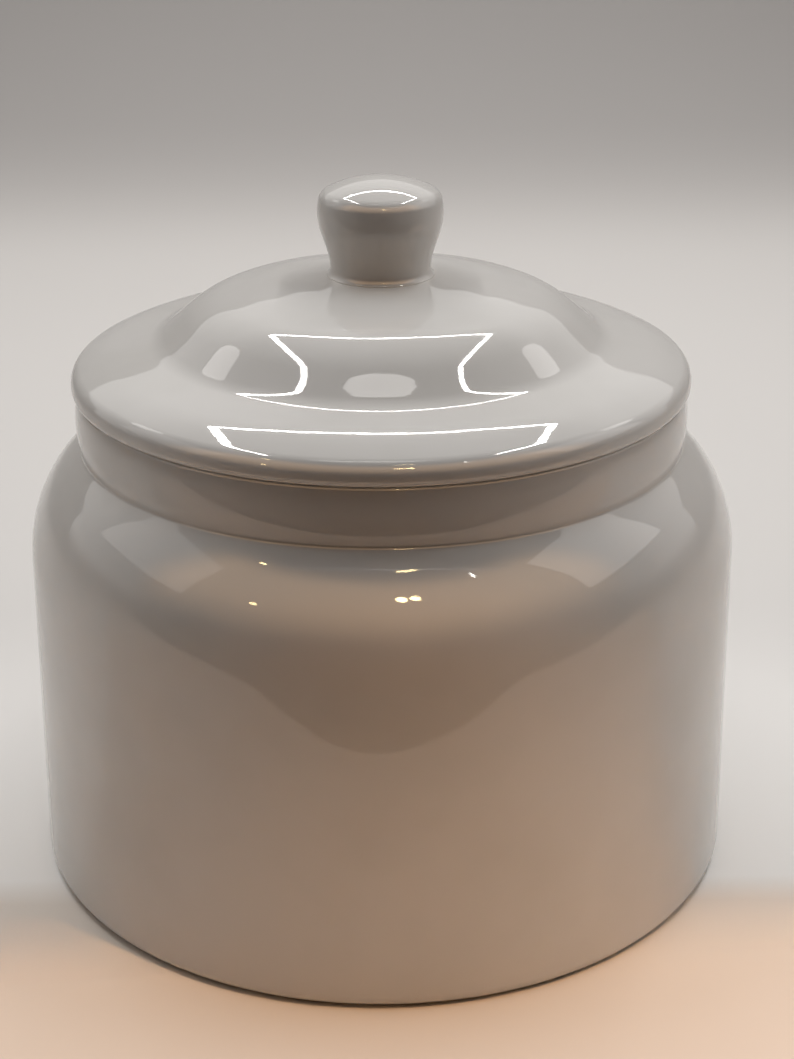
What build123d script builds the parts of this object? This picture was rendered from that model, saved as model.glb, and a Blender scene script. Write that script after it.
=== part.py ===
"""Garlic keeper: a glazed stoneware jar with a lift-off lid.

The jar is a drum with rounded shoulders, a short barrelled collar and a
group of vent holes in the back wall. The lid drops onto the collar's rim:
a skirt under its flange goes into the mouth and keeps it central, and a
separately thrown knob stands on a flat land on top of the hollow dome.

Millimetres. The origin is the centre of the foot, on the surface that the
jar stands on. +Z is the turning axis and the vents are on the +Y side.
"""
from build123d import *
import os
from math import acos, asin, cos, degrees, isclose, radians, sin, sqrt, tan

# ---------------------------------------------------------------- jar sizes
body_radius = 63.5          # outside, at the foot
wall_draft = 0.85           # degrees that the wall leans inward
wall_height = 58.55         # from the foot to the start of the shoulder
wall_thickness = 5.0
floor_thickness = 6.5
floor_round = 10.0          # between the floor and the wall, inside
shoulder_radius = 24.0      # the arc from the wall to the collar
base_round = 2.5            # outer corner of the foot
foot_recess_depth = 1.2     # under the floor, so that only the foot ring stands
foot_ring_width = 7.0
foot_recess_slope = 2.0     # how far the recess runs in while it rises

# ------------------------------------------------------------- collar sizes
collar_height = 10.0        # from the crease to the rim
collar_foot_radius = 52.9   # at the crease and at the rim
collar_bulge = 0.65         # how far the collar swells halfway up
collar_thickness = 4.4      # at the rim
crease_round = 1.4          # hollow between the shoulder and the collar
rim_outer_round = 1.6
rim_inner_round = 1.0
neck_round = 2.0            # lower edge of the mouth, inside

# --------------------------------------------------------------- vent sizes
vent_diameter = 8.0
vent_round = 0.8            # glazed-over edge, outside
vent_pitch = 15.0           # degrees between neighbours in a row
vent_row_heights = (26.0, 39.0)
vent_row_counts = (3, 2)
vent_side_angle = 90.0      # degrees from +X to the middle of the group

# ---------------------------------------------------------------- lid sizes
lid_clearance = 0.9         # between the skirt and the mouth
skirt_depth = 8.0
skirt_thickness = 4.0
skirt_round = 1.2
flange_overhang = 1.0       # how far the flange reaches beyond the collar's rim
flange_edge = 3.6           # height of the flange's edge
flange_edge_angle = 24.0    # degrees that the flange falls near its edge
flange_edge_width = 5.0     # from the edge to where that slope would start
flange_edge_blend = 25.0    # radius between the two slopes
flange_angle = 13.0         # degrees that the flange rises towards the dome
flange_top_round = 3.1
flange_bottom_round = 1.4
dome_foot_inset = 9.6       # from the mouth to where the dome's side would meet the flange
dome_foot_round = 7.0
dome_side_angle = 39.5      # degrees, the steepest part of the dome
dome_side_run = 7.7         # how far the dome's side runs in, up to the crown
dome_shoulder_round = 18.0
crown_radius = 105.0        # of the dome's flat top
lid_thickness = 4.6
hollow_shoulder_round = 13.4
hollow_foot_round = 5.0

# --------------------------------------------------------------- knob sizes
knob_height = 16.8
knob_foot_radius = 9.3      # over the ring of glaze that it stands in
knob_waist_radius = 8.7
knob_waist_height = 1.3
knob_radius = 10.8
knob_widest_height = 10.7
knob_edge_radius = 10.4     # where the side would meet the crown
knob_edge_height = 13.8
knob_edge_round = 2.6
knob_land_margin = 0.2      # the land on the dome, beyond the knob's foot


def ring(part, radius, height):
    """The round edge of a turned piece at this radius and height."""
    found = part.edges().filter_by(GeomType.CIRCLE).filter_by(
        lambda edge: isclose(edge.radius, radius, abs_tol=0.001)
        and isclose(edge.center().Z, height, abs_tol=0.001)
    )
    return found.sort_by(SortBy.LENGTH)[-1]


def inset_corner(corner, upper_angle, lower_angle, depth):
    """A corner of two outward-falling slopes, moved to one depth under both."""
    middle = radians((upper_angle + lower_angle) / 2)
    reach = depth / cos(radians(lower_angle - upper_angle) / 2)
    return (corner[0] - reach * sin(middle), corner[1] - reach * cos(middle))


# ---------------------------------------------------------------- jar shape
lean = radians(wall_draft)
wall_top_radius = body_radius - wall_height * tan(lean)
shoulder_axis_radius = wall_top_radius - shoulder_radius * cos(lean)
shoulder_axis_height = wall_height - shoulder_radius * sin(lean)
shoulder_end = acos((collar_foot_radius - shoulder_axis_radius) / shoulder_radius)
crease_height = shoulder_axis_height + shoulder_radius * sin(shoulder_end)
rim_height = crease_height + collar_height
mouth_radius = collar_foot_radius - collar_thickness

inner_shoulder_radius = shoulder_radius - wall_thickness
inner_shoulder_end = acos((mouth_radius - shoulder_axis_radius) / inner_shoulder_radius)
inner_wall_top_radius = shoulder_axis_radius + inner_shoulder_radius * cos(lean)
inner_wall_top_height = shoulder_axis_height + inner_shoulder_radius * sin(lean)
inner_floor_radius = inner_wall_top_radius + (inner_wall_top_height - floor_thickness) * tan(lean)
neck_height = shoulder_axis_height + inner_shoulder_radius * sin(inner_shoulder_end)
foot_ring_inner_radius = body_radius - base_round - foot_ring_width

with BuildPart() as jar:
    with BuildSketch(Plane.XZ):
        with BuildLine():
            Polyline(
                (0, foot_recess_depth),
                (foot_ring_inner_radius - foot_recess_slope, foot_recess_depth),
                (foot_ring_inner_radius, 0),
                (body_radius, 0),
                (wall_top_radius, wall_height),
            )
            outer_shoulder = CenterArc(
                (shoulder_axis_radius, shoulder_axis_height), shoulder_radius,
                wall_draft, degrees(shoulder_end) - wall_draft,
            )
            collar = ThreePointArc(
                outer_shoulder @ 1,
                (collar_foot_radius + collar_bulge, (crease_height + rim_height) / 2),
                (collar_foot_radius, rim_height),
            )
            inner_shoulder = CenterArc(
                (shoulder_axis_radius, shoulder_axis_height), inner_shoulder_radius,
                wall_draft, degrees(inner_shoulder_end) - wall_draft,
            )
            Polyline(collar @ 1, (mouth_radius, rim_height), inner_shoulder @ 1)
            Polyline(
                inner_shoulder @ 0,
                (inner_floor_radius, floor_thickness),
                (0, floor_thickness),
                (0, foot_recess_depth),
            )
        make_face()
    revolve(axis=Axis.Z)
    fillet(ring(jar, body_radius, 0), base_round)
    fillet(ring(jar, collar_foot_radius, crease_height), crease_round)
    fillet(ring(jar, collar_foot_radius, rim_height), rim_outer_round)
    fillet(ring(jar, mouth_radius, rim_height), rim_inner_round)
    fillet(ring(jar, mouth_radius, neck_height), neck_round)
    fillet(ring(jar, inner_floor_radius, floor_thickness), floor_round)

    # The vents: rows of round holes through the back wall, staggered.
    for row_height, row_count in zip(vent_row_heights, vent_row_counts):
        for place in range(row_count):
            turn = radians(vent_side_angle + (place - (row_count - 1) / 2) * vent_pitch)
            outward = Vector(cos(turn), sin(turn), 0)
            with BuildSketch(Plane(origin=(0, 0, row_height), z_dir=outward)):
                Circle(vent_diameter / 2)
            extrude(amount=body_radius, mode=Mode.SUBTRACT)
            rims = jar.edges(Select.LAST)
            fillet(rims.sort_by(lambda rim: rim.center().dot(outward))[-1], vent_round)
jar.part.label = "jar"

# ---------------------------------------------------------------- lid shape
seat_height = rim_height
skirt_radius = mouth_radius - lid_clearance
skirt_inner_radius = skirt_radius - skirt_thickness
skirt_end_height = seat_height - skirt_depth

flange_radius = collar_foot_radius + flange_overhang
flange_edge_height = seat_height + flange_edge
flange_break_radius = flange_radius - flange_edge_width
flange_edge_rise = flange_edge_width * tan(radians(flange_edge_angle))
flange_break = (flange_break_radius, flange_edge_height + flange_edge_rise)

dome_foot_radius = mouth_radius - dome_foot_inset
dome_shoulder_radius = dome_foot_radius - dome_side_run
flange_rise = (flange_break_radius - dome_foot_radius) * tan(radians(flange_angle))
dome_foot = (dome_foot_radius, flange_break[1] + flange_rise)
dome_rise = dome_side_run * tan(radians(dome_side_angle))
dome_shoulder = (dome_shoulder_radius, dome_foot[1] + dome_rise)
crown_end_angle = degrees(asin(dome_shoulder_radius / crown_radius))
crown_axis_height = dome_shoulder[1] - crown_radius * cos(radians(crown_end_angle))
knob_land_radius = knob_foot_radius + knob_land_margin
knob_land_height = crown_axis_height + sqrt(crown_radius**2 - knob_land_radius**2)
crown_start_angle = degrees(asin(knob_land_radius / crown_radius))

hollow_crown_radius = crown_radius - lid_thickness
hollow_shoulder_radius, _ = inset_corner(
    dome_shoulder, crown_end_angle, dome_side_angle, lid_thickness
)
hollow_crown_angle = degrees(asin(hollow_shoulder_radius / hollow_crown_radius))
hollow_shoulder_depth = hollow_crown_radius * cos(radians(hollow_crown_angle))
hollow_shoulder = (hollow_shoulder_radius, crown_axis_height + hollow_shoulder_depth)
hollow_foot = inset_corner(dome_foot, dome_side_angle, flange_angle, lid_thickness)
hollow_rim_drop = (skirt_inner_radius - hollow_foot[0]) * tan(radians(flange_angle))
hollow_rim = (skirt_inner_radius, hollow_foot[1] - hollow_rim_drop)

with BuildPart() as lid:
    with BuildSketch(Plane.XZ):
        with BuildLine():
            crown = CenterArc(
                (0, crown_axis_height), crown_radius,
                90 - crown_end_angle, crown_end_angle - crown_start_angle,
            )
            Polyline(
                crown @ 0,
                dome_foot,
                flange_break,
                (flange_radius, flange_edge_height),
                (flange_radius, seat_height),
                (skirt_radius, seat_height),
                (skirt_radius, skirt_end_height),
                (skirt_inner_radius, skirt_end_height),
                hollow_rim,
                hollow_foot,
                hollow_shoulder,
            )
            hollow_crown = CenterArc(
                (0, crown_axis_height), hollow_crown_radius,
                90 - hollow_crown_angle, hollow_crown_angle,
            )
            Polyline(hollow_crown @ 1, (0, knob_land_height), crown @ 1)
        make_face()
    revolve(axis=Axis.Z)
    fillet(ring(lid, *dome_shoulder), dome_shoulder_round)
    fillet(ring(lid, *dome_foot), dome_foot_round)
    fillet(ring(lid, *flange_break), flange_edge_blend)
    fillet(ring(lid, flange_radius, flange_edge_height), flange_top_round)
    fillet(ring(lid, flange_radius, seat_height), flange_bottom_round)
    fillet(ring(lid, skirt_radius, skirt_end_height), skirt_round)
    fillet(ring(lid, skirt_inner_radius, skirt_end_height), skirt_round)
    fillet(ring(lid, *hollow_shoulder), hollow_shoulder_round)
    fillet(ring(lid, *hollow_foot), hollow_foot_round)
lid.part.label = "lid"

# --------------------------------------------------------------- knob shape
knob_top_height = knob_land_height + knob_height
knob_crown_rise = knob_height - knob_edge_height
knob_crown_radius = (knob_edge_radius**2 + knob_crown_rise**2) / (2 * knob_crown_rise)

with BuildPart() as lid_knob:
    with BuildSketch(Plane.XZ):
        with BuildLine():
            foot = Line((0, knob_land_height), (knob_foot_radius, knob_land_height))
            waist = (knob_waist_radius, knob_land_height + knob_waist_height)
            ring_of_glaze = TangentArc(waist, foot @ 1, tangent=(0, -1))
            side = Spline(
                waist,
                (knob_radius, knob_land_height + knob_widest_height),
                (knob_edge_radius, knob_land_height + knob_edge_height),
                tangents=[(0, 1), (-0.2, 1)],
            )
            crown_arc = RadiusArc(side @ 1, (0, knob_top_height), -knob_crown_radius)
            Line(crown_arc @ 1, foot @ 0)
        make_face()
    revolve(axis=Axis.Z)
    fillet(ring(lid_knob, knob_edge_radius, knob_land_height + knob_edge_height), knob_edge_round)
lid_knob.part.label = "lid_knob"

os.makedirs("parts", exist_ok=True)
for piece in (jar, lid, lid_knob):
    export_step(piece.part, f"parts/{piece.part.label}.step")
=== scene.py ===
"""Garlic keeper: the finished look of a glazed stoneware jar and its lift-off lid.

Every size is in metres, in the frame of the construction model: the origin is
the centre of the foot, +Z is the turning axis and the vents are at +Y.
"""
import math

import bmesh
import bpy
from mathutils import Matrix, Vector


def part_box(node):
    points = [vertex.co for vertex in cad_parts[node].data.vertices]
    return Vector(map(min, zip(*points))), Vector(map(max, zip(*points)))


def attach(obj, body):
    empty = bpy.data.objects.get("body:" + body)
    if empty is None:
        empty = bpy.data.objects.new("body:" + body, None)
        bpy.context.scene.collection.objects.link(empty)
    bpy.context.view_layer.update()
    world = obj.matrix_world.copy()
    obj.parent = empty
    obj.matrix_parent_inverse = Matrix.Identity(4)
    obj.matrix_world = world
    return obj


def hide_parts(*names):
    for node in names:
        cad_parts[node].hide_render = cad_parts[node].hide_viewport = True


bl_info = {
    "name": "Garlic Keeper",
    "version": (1, 0, 0),
    "blender": (4, 5, 0),
    "location": "View3D > Sidebar > Keeper",
    "description": "Builds a glazed garlic keeper, its lid and a soft studio round it",
    "category": "Object",
}

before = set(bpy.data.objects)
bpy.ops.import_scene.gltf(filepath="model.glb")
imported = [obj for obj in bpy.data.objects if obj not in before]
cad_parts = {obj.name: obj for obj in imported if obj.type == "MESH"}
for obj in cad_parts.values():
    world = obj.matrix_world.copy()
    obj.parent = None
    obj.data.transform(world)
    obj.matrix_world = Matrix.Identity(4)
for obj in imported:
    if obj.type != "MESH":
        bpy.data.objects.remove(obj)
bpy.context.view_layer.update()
jar_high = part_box("jar")[1]
lid_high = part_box("lid")[1]
knob_low, knob_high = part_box("lid_knob")

ARC_STEP = math.radians(4)     # turn between two points of a rounded outline
OUTLINE_STEP = 0.0016          # longest straight stretch of an outline
KNOB_SIDE_STEPS = 24           # stretches in the side of the knob
TURNING_STEPS = 256            # copies of an outline round the axis
KNOB_TURNING_STEPS = 128       # the same for the knob
MERGE_DISTANCE = 1e-6          # points closer than this become one
VENT_EDGE_STEPS = 3            # faces across the round edge of a vent
VENT_SIDE = math.pi / 2        # turn from +X to the middle of the vents

CLAY_SHADE = 0.72              # darkest grit of the bare clay
FAR_SHADE = 0.7                # painted shade: the paper's tone far in front of the jar
MIX_FIRST, MIX_SECOND, MIX_RESULT = 6, 7, 2    # the Mix node's sockets for colours

# What surrounds the jar, as linear brightness.
SIDE_CLOTH = (0.42, 0.41, 0.40)
BACK_CLOTH = (0.81, 0.79, 0.77)        # only as the glaze mirrors it
TOP_CLOTH = (0.26, 0.255, 0.25)
DIM_ROOM = (0.03, 0.018, 0.012)
ROOM_GLOW = (2.9, 1.78, 0.94)          # only as the glaze mirrors it
PAINTED_ROOM_SHADE = (0.03, 0.02, 0.013)       # painted shade of the dim room, on the paper far in front, not to the camera
NONE, FULL = (0.0, 0.0, 0.0), (1.0, 1.0, 1.0)

# Y of the paper's tones, which paint light and shade on it, and where the painted shade of the
# dim room takes over from the paper.
TONES_START, TONES_END = -0.2, 0.8
WARM_START, WARM_END, NEAR_START = -0.10, -0.032, -0.024
SWEEP_START, SWEEP_END, BACKDROP_START = 0.10, 0.40, 0.63
PAINTED_SHADE_EDGE = -0.15

STRIP_TINT = (1.0, 0.975, 0.95)
PANEL_TINT = (1.0, 0.97, 0.94)
ROOM_TINT = (1.0, 0.56, 0.27)
GOLDEN = (1.0, 0.74, 0.36)
PALE = (1.0, 0.96, 0.90)

# Bulbs in the room, which show only in the glaze: turn to the right and rise as seen
# from the shoulder, both in radians, then width and height, watts and tint.
ROOM_BULBS = (
    (0.13, 0.735, (0.05, 0.07), 0.50, GOLDEN),
    (0.21, 0.745, (0.045, 0.06), 0.36, GOLDEN),
    (0.25, 1.12, (0.09, 0.03), 0.20, GOLDEN),
    (-0.79, 0.49, (0.04, 0.03), 0.09, GOLDEN),
    (-1.05, 0.96, (0.05, 0.025), 0.09, GOLDEN),
    (0.74, 0.93, (0.025, 0.08), 0.15, PALE),
)
SHOULDER = Vector((0, -0.058, 0.072))  # the place on the glaze that mirrors them


def size(name, default, description):
    """A length that a user may change, in metres."""
    return bpy.props.FloatProperty(
        name=name, default=default, min=0.0, precision=5, unit="LENGTH", description=description
    )


def slope(name, degrees, description):
    """An angle that a user may change."""
    return bpy.props.FloatProperty(
        name=name, default=math.radians(degrees), subtype="ANGLE", description=description
    )


def colour(name, default, description):
    """A colour that a user may change."""
    return bpy.props.FloatVectorProperty(
        name=name, default=default, size=3, min=0.0, max=1.0, subtype="COLOR",
        description=description,
    )


class KeeperJarSettings(bpy.types.PropertyGroup):
    """Sizes of the jar's turned shell and of its vents."""

    foot: size("Foot", 0.0635, "Radius of the foot, before its corner is rounded")
    wall_draft: slope("Wall Lean", 0.85, "How far the wall leans inward")
    wall_height: size("Wall Height", 0.05855, "From the foot to the start of the shoulder")
    wall: size("Wall", 0.005, "Thickness of the wall")
    floor: size("Floor", 0.0065, "Thickness of the floor")
    floor_round: size("Floor Round", 0.010, "Between the floor and the wall, inside")
    shoulder_round: size("Shoulder", 0.024, "Radius of the shoulder's arc")
    base_round: size("Base Round", 0.0025, "Outer corner of the foot")
    foot_recess: size("Foot Recess", 0.0012, "Depth of the recess under the floor")
    foot_ring: size("Foot Ring", 0.007, "Width of the bare ring that the jar stands on")
    foot_slope: size("Recess Slope", 0.002, "How far the recess runs in while it rises")
    collar_foot: size("Collar Foot", 0.0529, "Radius of the collar at the crease and the rim")
    collar_bulge: size("Collar Bulge", 0.00065, "How far the collar swells halfway up")
    collar_wall: size("Collar Wall", 0.0044, "Thickness of the collar at the rim")
    crease_round: size("Crease Round", 0.0006, "Hollow between the shoulder and the collar")
    rim_outer_round: size("Rim Outside", 0.0007, "Outer edge of the rim")
    rim_inner_round: size("Rim Inside", 0.0010, "Inner edge of the rim")
    neck_round: size("Neck Round", 0.0020, "Lower edge of the mouth, inside")
    vent_radius: size("Vent Radius", 0.004, "Radius of one vent")
    vent_round: size("Vent Round", 0.0007, "Glazed-over edge of a vent")
    vent_pitch: slope("Vent Pitch", 15, "Turn between neighbours in a row")
    vent_lower_row: size("Lower Vents", 0.026, "Height of the row of three")
    vent_upper_row: size("Upper Vents", 0.039, "Height of the row of two")


class KeeperLidSettings(bpy.types.PropertyGroup):
    """Sizes of the lid's turned shell."""

    skirt_depth: size("Skirt Depth", 0.008, "How far the skirt reaches into the mouth")
    skirt_gap: size("Skirt Gap", 0.0009, "Between the skirt and the mouth")
    skirt_wall: size("Skirt Wall", 0.004, "Thickness of the skirt")
    skirt_round: size("Skirt Round", 0.0012, "Both edges of the skirt")
    flange_edge: size("Flange Edge", 0.0036, "Height of the flange's edge")
    edge_slope: slope("Edge Slope", 24, "How the flange falls near its edge")
    edge_width: size("Edge Width", 0.005, "From the edge to where that slope would start")
    edge_blend: size("Edge Blend", 0.025, "Radius between the flange's two slopes")
    flange_slope: slope("Flange Slope", 13, "How the flange rises towards the dome")
    flange_top_round: size("Flange Top Round", 0.0031, "Upper edge of the flange")
    flange_bottom_round: size("Flange Bottom Round", 0.0014, "Lower edge of the flange")
    dome_foot_inset: size("Dome Foot Inset", 0.0096, "From the mouth to the foot of the dome")
    dome_foot_round: size("Dome Foot Round", 0.007, "Hollow between the dome and the flange")
    dome_slope: slope("Dome Slope", 39.5, "The steepest part of the dome")
    dome_run: size("Dome Run", 0.0077, "How far the dome's side runs in, up to the crown")
    dome_shoulder_round: size("Dome Shoulder Round", 0.018, "Arc between the side and the crown")
    crown: size("Crown", 0.105, "Radius of the dome's flat top")
    shell: size("Shell", 0.0046, "Thickness of the lid")
    hollow_shoulder_round: size("Hollow Shoulder", 0.0134, "The same arc, inside")
    hollow_foot_round: size("Hollow Foot", 0.005, "Round edge under the dome's foot")


class KeeperKnobSettings(bpy.types.PropertyGroup):
    """Sizes of the knob."""

    foot: size("Foot", 0.0093, "Radius over the ring of glaze at the foot")
    waist: size("Waist", 0.0087, "Smallest radius")
    waist_height: size("Waist Height", 0.0013, "Height of the waist over the lid")
    widest: size("Widest", 0.0108, "Largest radius")
    widest_height: size("Widest Height", 0.0107, "Height of the widest part over the lid")
    cheek: size("Cheek", 0.012, "Radius of the side's curve over the widest part")
    cheek_turn: slope("Cheek Turn", 10, "How far that curve leans in before the round edge")
    edge_round: size("Edge Round", 0.0026, "Round edge of the top")
    foot_round: size("Foot Round", 0.0015, "Hollow of the glaze between the knob and the lid")


class KeeperFinishSettings(bpy.types.PropertyGroup):
    """Colours of the glaze, the bare clay and the paper, whose tones paint light and shade on
    it.
    """

    glaze: colour("Glaze", (0.61, 0.60, 0.585), "The glaze over most of the surface")
    pooled: colour("Pooled Glaze", (0.55, 0.54, 0.52), "The glaze where it has run thick")
    speck: colour("Speck", (0.23, 0.19, 0.15), "The few specks in the glaze")
    clay: colour("Bare Clay", (0.58, 0.53, 0.46), "The unglazed ring under the foot")
    # The paper's tones paint light and shade: painted light beside the jar's front, a painted
    # warm pool of light in front, painted shade where it curves up.
    sweep: colour("Sweep", (0.63, 0.62, 0.61), "The paper behind the jar")
    sweep_painted_light: colour("Near Sweep", (0.85, 0.845, 0.835), "The paper beside the jar's front")
    sweep_painted_warm_light: colour("Warm Sweep", (0.71, 0.664, 0.617), "The paper in front of the jar")
    backdrop_painted_shade: colour("Backdrop", (0.46, 0.45, 0.445), "The paper where it curves up, and beyond")


class KeeperStageSettings(bpy.types.PropertyGroup):
    """The paper, the lamps that give the light its edges, and the camera."""

    paper_width: size("Paper Width", 3.2, "Width of the sheet")
    paper_front: size("Paper Front", 1.4, "How far the sheet reaches in front of the axis")
    paper_flat: size("Paper Flat", 0.50, "How far it lies flat behind the axis")
    paper_curve: size("Paper Curve", 0.55, "Radius in which it curves up")
    paper_lip: size("Paper Lip", 0.03, "Straight stretch over the curve")
    strip_height: size("Strip Height", 0.62, "Height of the lamps over the foot")
    strip_span: size("Strip Span", 0.466, "From the left strip to the right one")
    strip_back: size("Strip Back", 0.43, "How far the strips reach behind the axis")
    strip_ahead: size("Strip Ahead", 0.045, "How far they reach in front of the axis")
    strip_width: size("Strip Width", 0.014, "Width of the back and the right strip")
    left_strip_width: size("Left Strip Width", 0.0196, "Width of the left strip")
    room_cone: slope("Room Cone", 160, "Opening of the warm light's cone")
    room_edge: slope("Room Edge", 18.2, "How far back from straight down that cone reaches")
    camera_back: size("Camera Back", 0.32645, "Distance in front of the axis")
    camera_height: size("Camera Height", 0.19517, "Height over the foot")
    camera_pitch: slope("Camera Pitch", 22.723, "How far the camera looks down")
    camera_yaw: slope("Camera Yaw", 0.464, "How far the camera looks to the right")
    camera_roll: slope("Camera Roll", -0.195, "How far the camera leans")
    lens: bpy.props.FloatProperty(
        name="Lens", default=66.29, unit="CAMERA", description="Focal length in millimetres"
    )


# ------------------------------------------------------------------ outlines
def arc(centre, radius, start, end):
    """Points of an arc, both ends included, in the outline plane (radius, height)."""
    count = max(2, math.ceil(abs(end - start) / ARC_STEP))
    turns = (start + (end - start) * step / count for step in range(count + 1))
    return [centre + radius * Vector((math.cos(turn), math.sin(turn))) for turn in turns]


def rounded_corner(before, corner, after, rounding):
    """The arc that rounds one corner of an outline."""
    back, ahead = (before - corner).normalized(), (after - corner).normalized()
    half = back.angle(ahead) / 2
    centre = corner + (back + ahead).normalized() * rounding / math.sin(half)
    first = corner + back * rounding / math.tan(half) - centre
    last = corner + ahead * rounding / math.tan(half) - centre
    start = math.atan2(first.y, first.x)
    return arc(centre, rounding, start, start - first.angle_signed(last))


def outline(*stretches):
    """One outline from points, arcs and (point, rounding) corners, finely divided."""
    corners = []
    for stretch in stretches:
        if isinstance(stretch, list):
            corners += [(point, 0.0) for point in stretch]
        elif isinstance(stretch[0], float):
            corners.append((Vector(stretch), 0.0))
        else:
            corners.append((Vector(stretch[0]), stretch[1]))
    points = []
    for place, (corner, rounding) in enumerate(corners):
        if rounding:
            before, after = corners[place - 1][0], corners[place + 1][0]
            points += rounded_corner(before, corner, after, rounding)
        else:
            points.append(corner)
    fine = [points[0]]
    for point in points[1:]:
        start = fine[-1]
        count = max(1, math.ceil((point - start).length / OUTLINE_STEP))
        fine += [start.lerp(point, step / count) for step in range(1, count + 1)]
    return fine


def inset_corner(corner, upper_slope, lower_slope, depth):
    """A corner of two outward-falling slopes, moved to one depth under both."""
    middle = (upper_slope + lower_slope) / 2
    reach = depth / math.cos((lower_slope - upper_slope) / 2)
    return Vector((corner.x - reach * math.sin(middle), corner.y - reach * math.cos(middle)))


def crown_to_side(crown_centre, crown, foot, steepness, rounding, first_radius):
    """A crown's arc and the arc that turns it into a straight side, from the top down."""
    away = Vector((math.sin(steepness), math.cos(steepness)))
    along = Vector((math.cos(steepness), -math.sin(steepness)))
    line = foot - rounding * away - crown_centre
    reach = -line.dot(along) - math.sqrt(
        line.dot(along) ** 2 - line.length_squared + (crown - rounding) ** 2
    )
    meet = line + reach * along
    turn = math.atan2(meet.y, meet.x)
    start = math.acos(first_radius / crown)
    return arc(crown_centre, crown, start, turn)[:-1] + arc(
        crown_centre + meet, rounding, turn, math.pi / 2 - steepness
    )


# -------------------------------------------------------------------- meshes
def threaded(bm, points):
    """A chain of vertices and the edges between them."""
    verts = [bm.verts.new(point) for point in points]
    return verts, [bm.edges.new(pair) for pair in zip(verts, verts[1:])]


def turned(points, steps=TURNING_STEPS):
    """A closed mesh made by turning an outline once round the Z axis."""
    bm = bmesh.new()
    verts, edges = threaded(bm, [(point.x, 0.0, point.y) for point in points])
    bmesh.ops.spin(
        bm, geom=verts + edges, cent=(0, 0, 0), axis=(0, 0, 1), angle=math.tau,
        steps=steps, use_merge=True,
    )
    bmesh.ops.remove_doubles(bm, verts=bm.verts, dist=MERGE_DISTANCE)
    bmesh.ops.recalc_face_normals(bm, faces=bm.faces)
    return bm


def placed(bm, name, *materials):
    """Turns a mesh into a smooth object at the origin."""
    for face in bm.faces:
        face.smooth = True
    mesh = bpy.data.meshes.new(name)
    bm.to_mesh(mesh)
    bm.free()
    for material in materials:
        mesh.materials.append(material)
    shape = bpy.data.objects.new(name, mesh)
    bpy.context.scene.collection.objects.link(shape)
    return shape


def finished(bm, name, body, node, *materials):
    """Turns a mesh into a piece that stands for its construction node."""
    piece = placed(bm, name, *materials)
    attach(piece, body)
    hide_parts(node)


def pierce(bm, turn, height, radius, rounding, wall_radius, thickness):
    """Cuts one round vent through the wall and rounds both of its edges."""
    outward = Vector((math.cos(turn), math.sin(turn), 0.0))
    sideways = Vector((-math.sin(turn), math.cos(turn), 0.0))

    def offset(point):
        return Vector((point.dot(sideways), point.z - height))

    def on_outside(point):
        return math.hypot(point.x, point.y) > wall_radius(point.z) - thickness / 2

    cut = [
        face for face in bm.faces
        if face.calc_center_median().dot(outward) > 0
        and offset(face.calc_center_median()).length < radius + OUTLINE_STEP / 4
    ]
    bmesh.ops.delete(bm, geom=cut, context="FACES")
    rims = [edge for edge in bm.edges if edge.is_boundary]
    for vert in {vert for edge in rims for vert in edge.verts}:
        place = offset(vert.co).normalized() * radius
        reach = wall_radius(height + place.y) - (0.0 if on_outside(vert.co) else thickness)
        depth = math.sqrt(reach**2 - place.x**2)
        vert.co = outward * depth + sideways * place.x + Vector((0, 0, height + place.y))
    bmesh.ops.bridge_loops(bm, edges=rims)
    bmesh.ops.bevel(
        bm, geom=rims, offset=rounding, segments=VENT_EDGE_STEPS, profile=0.5,
        affect="EDGES", material=-1, clamp_overlap=True,
    )


# ----------------------------------------------------------------- materials
def feed(socket, source):
    """Gives a socket a number, a colour or another node's output."""
    if isinstance(source, bpy.types.NodeSocket):
        socket.id_data.links.new(source, socket)
    elif isinstance(source, float):
        socket.default_value = source
    else:
        socket.default_value = (*source, 1.0)


def add(tree, kind, **inputs):
    """Adds a node and feeds its inputs; an underline stands for a space."""
    node = tree.nodes.new(kind)
    for name, source in inputs.items():
        feed(node.inputs[name.replace("_", " ")], source)
    return node


def figured(tree, operation, *sources):
    """The result of one Math node."""
    node = tree.nodes.new("ShaderNodeMath")
    node.operation = operation
    for socket, source in zip(node.inputs, sources):
        feed(socket, source)
    return node.outputs[0]


def ranged(tree, source, start, end, low=0.0, high=1.0, kind="LINEAR"):
    """A value that goes from low to high while its source goes from start to end."""
    node = add(
        tree, "ShaderNodeMapRange", Value=source, From_Min=start, From_Max=end,
        To_Min=low, To_Max=high,
    )
    node.interpolation_type = kind
    return node.outputs["Result"]


def eased(tree, source, start, end, high=1.0):
    """The same from 0 to high, with soft ends."""
    return ranged(tree, source, start, end, high=high, kind="SMOOTHSTEP")


def mixed(tree, share, first, second):
    """A colour between two others."""
    node = tree.nodes.new("ShaderNodeMix")
    node.data_type = "RGBA"
    feed(node.inputs["Factor"], share)
    feed(node.inputs[MIX_FIRST], first)
    feed(node.inputs[MIX_SECOND], second)
    return node.outputs[MIX_RESULT]


def toned(tree, source, *stops):
    """Colours that ease from one (position, colour) stop to the next."""
    node = add(tree, "ShaderNodeValToRGB", Fac=source)
    node.color_ramp.interpolation = "EASE"
    elements = node.color_ramp.elements
    for element, (position, tone) in zip(elements, (stops[0], stops[-1])):
        element.position, element.color = position, (*tone, 1.0)
    for position, tone in stops[1:-1]:
        elements.new(position).color = (*tone, 1.0)
    return node.outputs["Color"]


def noise(tree, place, scale, detail, roughness):
    """Soft noise over a piece."""
    return add(
        tree, "ShaderNodeTexNoise", Vector=place, Scale=scale, Detail=detail,
        Roughness=roughness,
    ).outputs["Fac"]


def shaded(tone, share):
    """A darker version of a colour."""
    return [part * share for part in tone]


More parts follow.
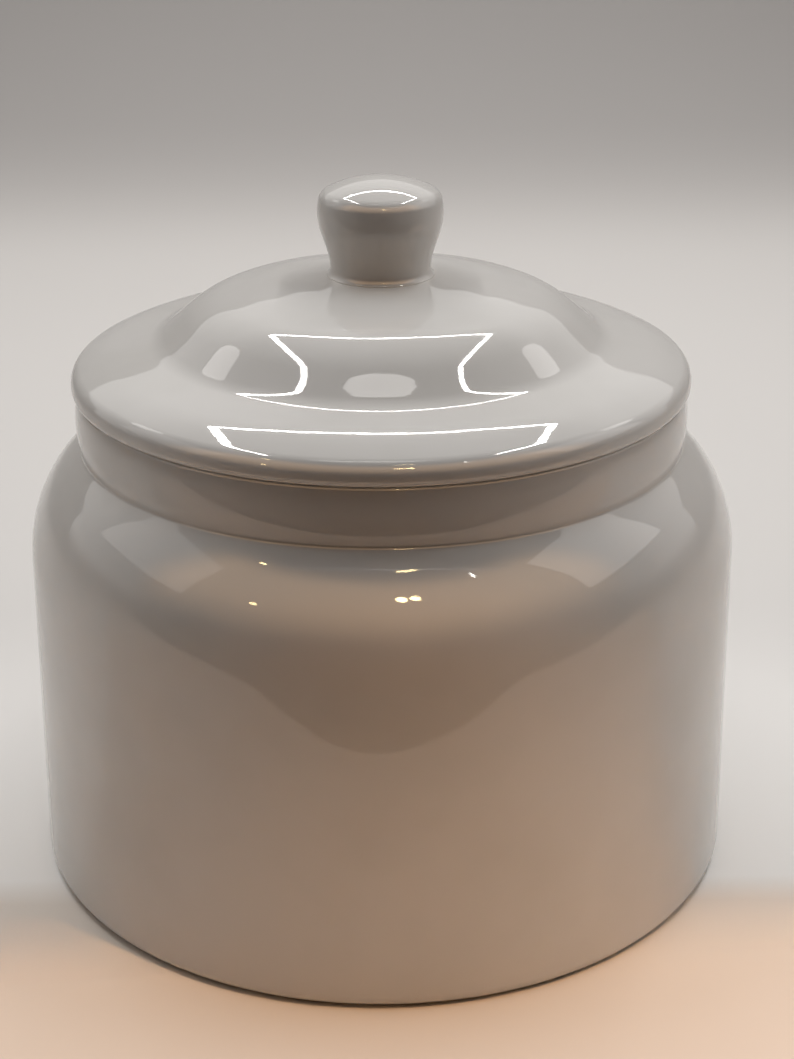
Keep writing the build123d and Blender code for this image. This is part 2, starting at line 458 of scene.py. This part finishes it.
def new_finish(name, **values):
    """A material with one shader, given as the material, its nodes and the shader."""
    material = bpy.data.materials.new(name)
    material.use_nodes = True
    shader = material.node_tree.nodes["Principled BSDF"]
    for socket, value in values.items():
        shader.inputs[socket.replace("_", " ")].default_value = value
    return material, material.node_tree, shader


def roughen(tree, shader, height, strength, distance):
    """Lets the shader's surface rise and fall with a height."""
    bump = add(tree, "ShaderNodeBump", Strength=strength, Distance=distance, Height=height)
    feed(shader.inputs["Normal"], bump.outputs["Normal"])


def glaze_surface():
    """The group behind every glazed face: drift of colour, specks and slow waves."""
    group = bpy.data.node_groups.new("GlazeSurface", "ShaderNodeTree")
    for name, kind, direction in (
        ("Glaze", "NodeSocketColor", "INPUT"),
        ("Pooled", "NodeSocketColor", "INPUT"),
        ("Speck", "NodeSocketColor", "INPUT"),
        ("Speck Density", "NodeSocketFloat", "INPUT"),
        ("Color", "NodeSocketColor", "OUTPUT"),
        ("Roughness", "NodeSocketFloat", "OUTPUT"),
        ("Height", "NodeSocketFloat", "OUTPUT"),
    ):
        group.interface.new_socket(name=name, in_out=direction, socket_type=kind)
    given, result = group.nodes.new("NodeGroupInput"), group.nodes.new("NodeGroupOutput")
    place = group.nodes.new("ShaderNodeTexCoord").outputs["Object"]

    drift = noise(group, place, scale=34.0, detail=3.0, roughness=0.55)
    pooled = ranged(group, drift, start=0.45, end=0.85)
    body = mixed(group, pooled, given.outputs["Glaze"], given.outputs["Pooled"])

    cells = add(group, "ShaderNodeTexVoronoi", Vector=place, Scale=95.0, Randomness=1.0)
    chance = add(group, "ShaderNodeSeparateColor", Color=cells.outputs["Color"])
    chosen = figured(
        group, "LESS_THAN", chance.outputs["Red"], given.outputs["Speck Density"]
    )
    near = eased(group, cells.outputs["Distance"], start=0.075, end=0.035)
    speck = figured(group, "MULTIPLY", chosen, near)
    feed(result.inputs["Color"], mixed(group, speck, body, given.outputs["Speck"]))

    haze = noise(group, place, scale=140.0, detail=4.0, roughness=0.6)
    polish = ranged(group, haze, start=0.0, end=1.0, low=0.02, high=0.045)
    feed(result.inputs["Roughness"], polish)

    peel_share, pit_depth = 0.012, 0.05
    waves = noise(group, place, scale=26.0, detail=1.5, roughness=0.4)
    peel = noise(group, place, scale=420.0, detail=2.0, roughness=0.5)
    skin = figured(group, "MULTIPLY_ADD", peel, peel_share, waves)
    feed(result.inputs["Height"], figured(group, "MULTIPLY_ADD", speck, -pit_depth, skin))
    return group


def glazed(name, speck_density, wave_height):
    """A glazed finish: a white body under a clear, glossy, slightly wavy glaze."""
    finish = bpy.context.scene.keeper_finish
    material, tree, shader = new_finish(name, IOR=1.52, Specular_IOR_Level=0.5)
    surface = tree.nodes.new("ShaderNodeGroup")
    surface.node_tree = bpy.data.node_groups.get("GlazeSurface") or glaze_surface()
    feed(surface.inputs["Glaze"], finish.glaze)
    feed(surface.inputs["Pooled"], finish.pooled)
    feed(surface.inputs["Speck"], finish.speck)
    feed(surface.inputs["Speck Density"], speck_density)
    feed(shader.inputs["Base Color"], surface.outputs["Color"])
    feed(shader.inputs["Roughness"], surface.outputs["Roughness"])
    roughen(tree, shader, surface.outputs["Height"], strength=1.0, distance=wave_height)
    return material


def bare_clay():
    """The unglazed ring under the foot: matt, buff and finely gritty."""
    clay = bpy.context.scene.keeper_finish.clay
    material, tree, shader = new_finish("BareClay", Roughness=0.85)
    place = tree.nodes.new("ShaderNodeTexCoord").outputs["Object"]
    grit = noise(tree, place, scale=900.0, detail=6.0, roughness=0.7)
    feed(shader.inputs["Base Color"], mixed(tree, grit, clay, shaded(clay, CLAY_SHADE)))
    roughen(tree, shader, grit, strength=0.6, distance=0.0003)
    return material


def along_paper(depth, tone):
    """A stop of the paper's tones, placed by its Y."""
    return (depth - TONES_START) / (TONES_END - TONES_START), tone


def sweep_paper(finish):
    """Matt paper, with painted light and shade: painted warm light in front of the jar, painted
    light beside it and painted shade where it curves up.

    Far in front it is painted dark to everything but the camera, as shade from the dim room.
    """
    material, tree, shader = new_finish("SweepPaper", Roughness=0.9, Specular_IOR_Level=0.2)
    place = tree.nodes.new("ShaderNodeTexCoord")
    axes = add(tree, "ShaderNodeSeparateXYZ", Vector=place.outputs["Object"])
    # The tones paint light and shade: painted shade far in front, painted warm light in front of
    # the jar, painted light beside it, painted shade where it curves up.
    tones = toned(
        tree, ranged(tree, axes.outputs["Y"], TONES_START, TONES_END),
        along_paper(TONES_START, shaded(finish.sweep_painted_warm_light, FAR_SHADE)),
        along_paper(WARM_START, finish.sweep_painted_warm_light),
        along_paper(WARM_END, finish.sweep_painted_warm_light),
        along_paper(NEAR_START, finish.sweep_painted_light),
        along_paper(SWEEP_START, finish.sweep),
        along_paper(SWEEP_END, finish.sweep),
        along_paper(BACKDROP_START, finish.backdrop_painted_shade),
    )
    rays = tree.nodes.new("ShaderNodeLightPath")
    # Painted shade: beyond its front edge the paper turns dark to every ray but the camera's.
    beyond = figured(tree, "LESS_THAN", axes.outputs["Y"], PAINTED_SHADE_EDGE)
    unseen = figured(tree, "SUBTRACT", 1.0, rays.outputs["Is Camera Ray"])
    painted_room_shade = figured(tree, "MULTIPLY", beyond, unseen)
    feed(shader.inputs["Base Color"], mixed(tree, painted_room_shade, tones, PAINTED_ROOM_SHADE))
    return material


# ----------------------------------------------------------------- operators
class KEEPER_OT_build_jar(bpy.types.Operator):
    """Turns the glazed jar, cuts its vents and leaves its foot ring bare"""

    bl_idname = "keeper.build_jar"
    bl_label = "Build Jar"

    def execute(self, context):
        jar = context.scene.keeper_jar
        lean, rim = jar.wall_draft, jar_high.z

        def wall_radius(height):
            return jar.foot - height * math.tan(lean)

        shoulder = Vector((
            wall_radius(jar.wall_height) - jar.shoulder_round * math.cos(lean),
            jar.wall_height - jar.shoulder_round * math.sin(lean),
        ))
        outer_end = math.acos((jar.collar_foot - shoulder.x) / jar.shoulder_round)
        outer = arc(shoulder, jar.shoulder_round, lean, outer_end)
        crease = outer[-1]

        half_collar = (rim - crease.y) / 2
        swell = (half_collar**2 + jar.collar_bulge**2) / (2 * jar.collar_bulge)
        collar_centre = Vector((
            jar.collar_foot + jar.collar_bulge - swell, crease.y + half_collar
        ))
        reach = math.asin(half_collar / swell)
        collar = arc(collar_centre, swell, -reach, reach)[1:-1]

        mouth = jar.collar_foot - jar.collar_wall
        inner_round = jar.shoulder_round - jar.wall
        inner_end = math.acos((mouth - shoulder.x) / inner_round)
        inner = arc(shoulder, inner_round, inner_end, lean)
        inner_foot = inner[-1].x + (inner[-1].y - jar.floor) * math.tan(lean)
        ring_inside = jar.foot - jar.base_round - jar.foot_ring
        recess = ring_inside - jar.foot_slope
        shell = turned(outline(
            (0.0, jar.foot_recess),
            (recess, jar.foot_recess),
            (ring_inside, 0.0),
            ((jar.foot, 0.0), jar.base_round),
            outer[:-1],
            (crease, jar.crease_round),
            collar,
            ((jar.collar_foot, rim), jar.rim_outer_round),
            ((mouth, rim), jar.rim_inner_round),
            (inner[0], jar.neck_round),
            inner[1:],
            ((inner_foot, jar.floor), jar.floor_round),
            (0.0, jar.floor),
        ))

        thickness = jar.wall / math.cos(lean)
        for height, places in (
            (jar.vent_lower_row, (-1, 0, 1)),
            (jar.vent_upper_row, (-0.5, 0.5)),
        ):
            for place in places:
                turn = VENT_SIDE + place * jar.vent_pitch
                pierce(
                    shell, turn, height, jar.vent_radius, jar.vent_round, wall_radius, thickness
                )
        for face in shell.faces:
            middle = face.calc_center_median()
            on_ring = math.hypot(middle.x, middle.y) > recess
            face.material_index = int(on_ring and middle.z < jar.foot_recess / 2)
        glaze = glazed("JarGlaze", speck_density=0.02, wave_height=0.0007)
        finished(shell, "glazed_jar", "jar", "jar", glaze, bare_clay())
        return {"FINISHED"}


class KEEPER_OT_build_lid(bpy.types.Operator):
    """Turns the glazed lid: dome, flange and the skirt that goes into the mouth"""

    bl_idname = "keeper.build_lid"
    bl_label = "Build Lid"

    def execute(self, context):
        jar, lid = context.scene.keeper_jar, context.scene.keeper_lid
        seat, flange, land = jar_high.z, lid_high.x, knob_low.z
        mouth = jar.collar_foot - jar.collar_wall
        skirt = mouth - lid.skirt_gap
        skirt_inside = skirt - lid.skirt_wall
        skirt_end = seat - lid.skirt_depth

        edge = Vector((flange, seat + lid.flange_edge))
        bend = edge + lid.edge_width * Vector((-1.0, math.tan(lid.edge_slope)))
        foot = Vector((mouth - lid.dome_foot_inset, bend.y))
        foot.y += (bend.x - foot.x) * math.tan(lid.flange_slope)
        shoulder = foot + lid.dome_run * Vector((-1.0, math.tan(lid.dome_slope)))
        crown_slope = math.asin(shoulder.x / lid.crown)
        crown_centre = Vector((0.0, shoulder.y - lid.crown * math.cos(crown_slope)))
        land_radius = math.sqrt(lid.crown**2 - (land - crown_centre.y) ** 2)
        dome = crown_to_side(
            crown_centre, lid.crown, foot, lid.dome_slope, lid.dome_shoulder_round, land_radius
        )

        hollow_foot = inset_corner(foot, lid.dome_slope, lid.flange_slope, lid.shell)
        drop = (skirt_inside - hollow_foot.x) * math.tan(lid.flange_slope)
        hollow = crown_to_side(
            crown_centre, lid.crown - lid.shell, hollow_foot, lid.dome_slope,
            lid.hollow_shoulder_round, 0.0,
        )
        shell = turned(outline(
            (0.0, land),
            dome,
            (foot, lid.dome_foot_round),
            (bend, lid.edge_blend),
            (edge, lid.flange_top_round),
            ((flange, seat), lid.flange_bottom_round),
            (skirt, seat),
            ((skirt, skirt_end), lid.skirt_round),
            ((skirt_inside, skirt_end), lid.skirt_round),
            (skirt_inside, hollow_foot.y - drop),
            (hollow_foot, lid.hollow_foot_round),
            hollow[::-1],
        ))
        glaze = glazed("LidGlaze", speck_density=0.012, wave_height=0.0005)
        finished(shell, "glazed_lid", "lid", "lid", glaze)
        return {"FINISHED"}


class KEEPER_OT_build_knob(bpy.types.Operator):
    """Turns the glazed knob that stands on the lid"""

    bl_idname = "keeper.build_knob"
    bl_label = "Build Knob"

    def execute(self, context):
        knob = context.scene.keeper_knob
        land, top = knob_low.z, knob_high.z
        waist = Vector((knob.waist, land + knob.waist_height))
        widest = Vector((knob.widest, land + knob.widest_height))
        foot_end = math.acos(1 - (knob.foot - knob.waist) / knob.foot_round)
        foot = arc(
            waist + Vector((knob.foot_round, 0.0)), knob.foot_round,
            math.pi + foot_end, math.pi,
        )
        shares = (step / KNOB_SIDE_STEPS for step in range(1, KNOB_SIDE_STEPS + 1))
        side = [
            Vector((
                waist.x + (widest.x - waist.x) * (1 - math.cos(share * math.pi)) / 2,
                waist.y + (widest.y - waist.y) * share,
            ))
            for share in shares
        ]
        cheek = widest - Vector((knob.cheek, 0.0))
        out = Vector((math.cos(knob.cheek_turn), math.sin(knob.cheek_turn)))
        edge = cheek + (knob.cheek - knob.edge_round) * out
        # The crown's centre is on the axis, and its arc runs on from the round edge's.
        crown_start = math.pi / 2 - 2 * math.atan((top - edge.y - knob.edge_round) / edge.x)
        crown = edge.x / math.cos(crown_start) + knob.edge_round
        shell = turned(outline(
            (0.0, land),
            (knob.foot, land),
            foot,
            side,
            arc(cheek, knob.cheek, 0.0, knob.cheek_turn)[1:],
            arc(edge, knob.edge_round, knob.cheek_turn, crown_start)[1:],
            arc(Vector((0.0, top - crown)), crown, crown_start, math.pi / 2)[1:],
        ), KNOB_TURNING_STEPS)
        glaze = glazed("KnobGlaze", speck_density=0.012, wave_height=0.0003)
        finished(shell, "glazed_knob", "lid", "lid_knob", glaze)
        return {"FINISHED"}


class KEEPER_OT_build_stage(bpy.types.Operator):
    """Lays the paper sweep and sets the lamps, the surroundings and the camera"""

    bl_idname = "keeper.build_stage"
    bl_label = "Build Stage"

    def execute(self, context):
        scene = context.scene
        finish, stage = scene.keeper_finish, scene.keeper_stage
        lay_sweep(stage, sweep_paper(finish))
        light_world(scene, finish.backdrop_painted_shade)
        hang_strips(stage)
        hang_panels()
        hang_room_lights(stage)
        set_camera(scene, stage)
        scene.view_settings.view_transform = "Standard"
        return {"FINISHED"}


# --------------------------------------------------------------------- stage
def lay_sweep(stage, paper):
    """A sheet of paper that lies flat, then curves up behind the jar."""
    centre = Vector((stage.paper_flat, stage.paper_curve))
    path = [Vector((-stage.paper_front, 0.0)), Vector((stage.paper_flat, 0.0))]
    path += arc(centre, stage.paper_curve, -math.pi / 2, 0.0)[1:]
    path.append(path[-1] + Vector((0.0, stage.paper_lip)))
    bm = bmesh.new()
    _, edges = threaded(bm, [(-stage.paper_width / 2, point.x, point.y) for point in path])
    made = bmesh.ops.extrude_edge_only(bm, edges=edges)["geom"]
    moved = [item for item in made if isinstance(item, bmesh.types.BMVert)]
    bmesh.ops.translate(bm, verts=moved, vec=(stage.paper_width, 0, 0))
    bmesh.ops.recalc_face_normals(bm, faces=bm.faces)
    sweep = placed(bm, "paper_sweep", paper)


def light_world(scene, backdrop_painted_shade):
    """Bright cloth to the sides and behind, a dim warm room in front.

    The camera sees only the backdrop. Depth and rise are the Y and the Z of a
    direction, from -1 to 1.
    """
    world = bpy.data.worlds.new("tent")
    scene.world = world
    world.use_nodes = True
    tree = world.node_tree
    place = tree.nodes.new("ShaderNodeTexCoord")
    axes = add(tree, "ShaderNodeSeparateXYZ", Vector=place.outputs["Generated"])
    depth, rise = axes.outputs["Y"], axes.outputs["Z"]
    rays = tree.nodes.new("ShaderNodeLightPath")
    mirrored = rays.outputs["Is Glossy Ray"]

    behind = figured(tree, "MULTIPLY", eased(tree, depth, start=-0.05, end=0.55), mirrored)
    overhead = eased(tree, rise, start=0.62, end=0.80)
    cloth = mixed(tree, overhead, mixed(tree, behind, SIDE_CLOTH, BACK_CLOTH), TOP_CLOTH)

    ahead = eased(tree, depth, start=0.0, end=-0.28)
    low = eased(tree, rise, start=0.17, end=0.04, high=0.8)
    walls = mixed(tree, figured(tree, "MAXIMUM", ahead, low), cloth, DIM_ROOM)

    band = toned(tree, rise, (0.05, NONE), (0.60, FULL), (0.74, FULL), (0.90, NONE))
    glow = figured(tree, "MULTIPLY", figured(tree, "MULTIPLY", ahead, band), mirrored)
    room = mixed(tree, glow, walls, ROOM_GLOW)
    shown = mixed(tree, rays.outputs["Is Camera Ray"], room, backdrop_painted_shade)
    feed(tree.nodes["Background"].inputs["Color"], shown)


def hung(data, place, direction):
    """Puts a lamp in its place and turns it to shine in a direction."""
    fixture = bpy.data.objects.new(data.name, data)
    fixture.location = place
    fixture.rotation_euler = direction.to_track_quat("-Z", "Y").to_euler()
    bpy.context.scene.collection.objects.link(fixture)
    return fixture


def lamp(name, place, aim, sizes, power, tint, shape="RECTANGLE"):
    """One soft lamp, aimed at a point."""
    data = bpy.data.lights.new(name, "AREA")
    data.shape = shape
    data.size, data.size_y = sizes
    data.energy = power
    data.color = tint
    return hung(data, place, Vector(aim) - Vector(place))


def hang_strips(stage):
    """Strips overhead, open in front but for a soft patch, and a thin bar ahead of them."""
    half, thin = stage.strip_span / 2, stage.strip_width
    back, front = stage.strip_back, -stage.strip_ahead
    middle, depth = (back + front) / 2, back - front

    def overhead(name, x, y, sizes, power, tint, shape="RECTANGLE"):
        place = (x, y, stage.strip_height)
        return lamp(name, place, (x, y, 0), sizes, power, tint, shape)

    overhead("strip_back", 0.0, back, (stage.strip_span, thin), 1.25, STRIP_TINT)
    overhead("strip_left", -half, middle, (stage.left_strip_width, depth), 1.3, STRIP_TINT)
    overhead("strip_right", half, middle, (thin, depth), 1.48, STRIP_TINT)
    overhead("strip_front", -0.02, -0.102, (0.27, 0.042), 0.13, PANEL_TINT, "ELLIPSE")
    bar = overhead("front_bar", 0.05, -0.30, (0.62, 0.004), 0.03, PANEL_TINT)
    bar.visible_diffuse = False


def hang_panels():
    """Soft panels beside the jar, and a smaller glow behind each."""
    aside, over_lid, on_jar = 0.34, (0, -0.045, 0.20), (0, 0.05, 0.1)
    lamp("panel_left", (-aside, -0.045, 0.29), over_lid, (0.27, 0.19), 0.13, PANEL_TINT)
    lamp("panel_right", (aside, -0.045, 0.32), over_lid, (0.27, 0.24), 0.28, PANEL_TINT)
    for name, side in (("glow_left", -aside), ("glow_right", aside)):
        place = (side, 0.18, 0.415)
        lamp(name, place, on_jar, (0.11, 0.09), 0.06, PANEL_TINT, "ELLIPSE")


def hang_room_lights(stage):
    """Bulbs that only the glaze mirrors, and one warm light for the room's side.

    That light's cone is so wide that its rear edge falls as a straight line.
    """
    for place, (turn, rise, sizes, power, tint) in enumerate(ROOM_BULBS):
        toward = Vector((
            math.sin(turn) * math.cos(rise), -math.cos(turn) * math.cos(rise), math.sin(rise)
        ))
        bulb = lamp(
            f"room_{place}", SHOULDER + toward, SHOULDER, sizes, power, tint, "ELLIPSE"
        )
        bulb.visible_diffuse = False
    data = bpy.data.lights.new("room_ceiling", "SPOT")
    data.energy, data.color = 8.0, ROOM_TINT
    data.spot_size, data.spot_blend = stage.room_cone, 0.008
    data.shadow_soft_size = 0.012
    lean = stage.room_cone / 2 - stage.room_edge
    direction = Vector((0.0, -math.sin(lean), -math.cos(lean)))
    ceiling = hung(data, (0.22, -0.235, stage.strip_height), direction)
    ceiling.visible_glossy = False


def set_camera(scene, stage):
    """The camera in front of the jar, looking slightly down on it."""
    data = bpy.data.cameras.new("camera")
    data.lens = stage.lens
    data.sensor_width = 36.0
    data.clip_start = 0.01
    camera = bpy.data.objects.new("camera", data)
    turn = (
        Matrix.Rotation(-stage.camera_yaw, 4, "Z")
        @ Matrix.Rotation(math.pi / 2 - stage.camera_pitch, 4, "X")
        @ Matrix.Rotation(stage.camera_roll, 4, "Z")
    )
    place = Matrix.Translation((0.0, -stage.camera_back, stage.camera_height))
    camera.matrix_world = place @ turn
    scene.collection.objects.link(camera)
    scene.camera = camera


class KEEPER_PT_panel(bpy.types.Panel):
    """Builds the keeper's pieces one by one"""

    bl_idname = "KEEPER_PT_panel"
    bl_label = "Garlic Keeper"
    bl_space_type = "VIEW_3D"
    bl_region_type = "UI"
    bl_category = "Keeper"

    def draw(self, context):
        for operator in OPERATORS:
            self.layout.operator(operator.bl_idname)
        for holder, settings in SETTINGS.items():
            box = self.layout.box()
            box.label(text=holder.replace("_", " ").title())
            for name in settings.__annotations__:
                box.prop(getattr(context.scene, holder), name)


OPERATORS = (
    KEEPER_OT_build_jar,
    KEEPER_OT_build_lid,
    KEEPER_OT_build_knob,
    KEEPER_OT_build_stage,
)
SETTINGS = {
    "keeper_jar": KeeperJarSettings,
    "keeper_lid": KeeperLidSettings,
    "keeper_knob": KeeperKnobSettings,
    "keeper_finish": KeeperFinishSettings,
    "keeper_stage": KeeperStageSettings,
}


def register():
    for cls in (*SETTINGS.values(), *OPERATORS, KEEPER_PT_panel):
        bpy.utils.register_class(cls)
    for holder, settings in SETTINGS.items():
        setattr(bpy.types.Scene, holder, bpy.props.PointerProperty(type=settings))


def unregister():
    for holder in SETTINGS:
        delattr(bpy.types.Scene, holder)
    for cls in (KEEPER_PT_panel, *reversed(OPERATORS), *reversed(SETTINGS.values())):
        bpy.utils.unregister_class(cls)


def main():
    register()
    bpy.ops.keeper.build_jar()
    bpy.ops.keeper.build_lid()
    bpy.ops.keeper.build_knob()
    bpy.ops.keeper.build_stage()


if __name__ == "__main__":
    main()
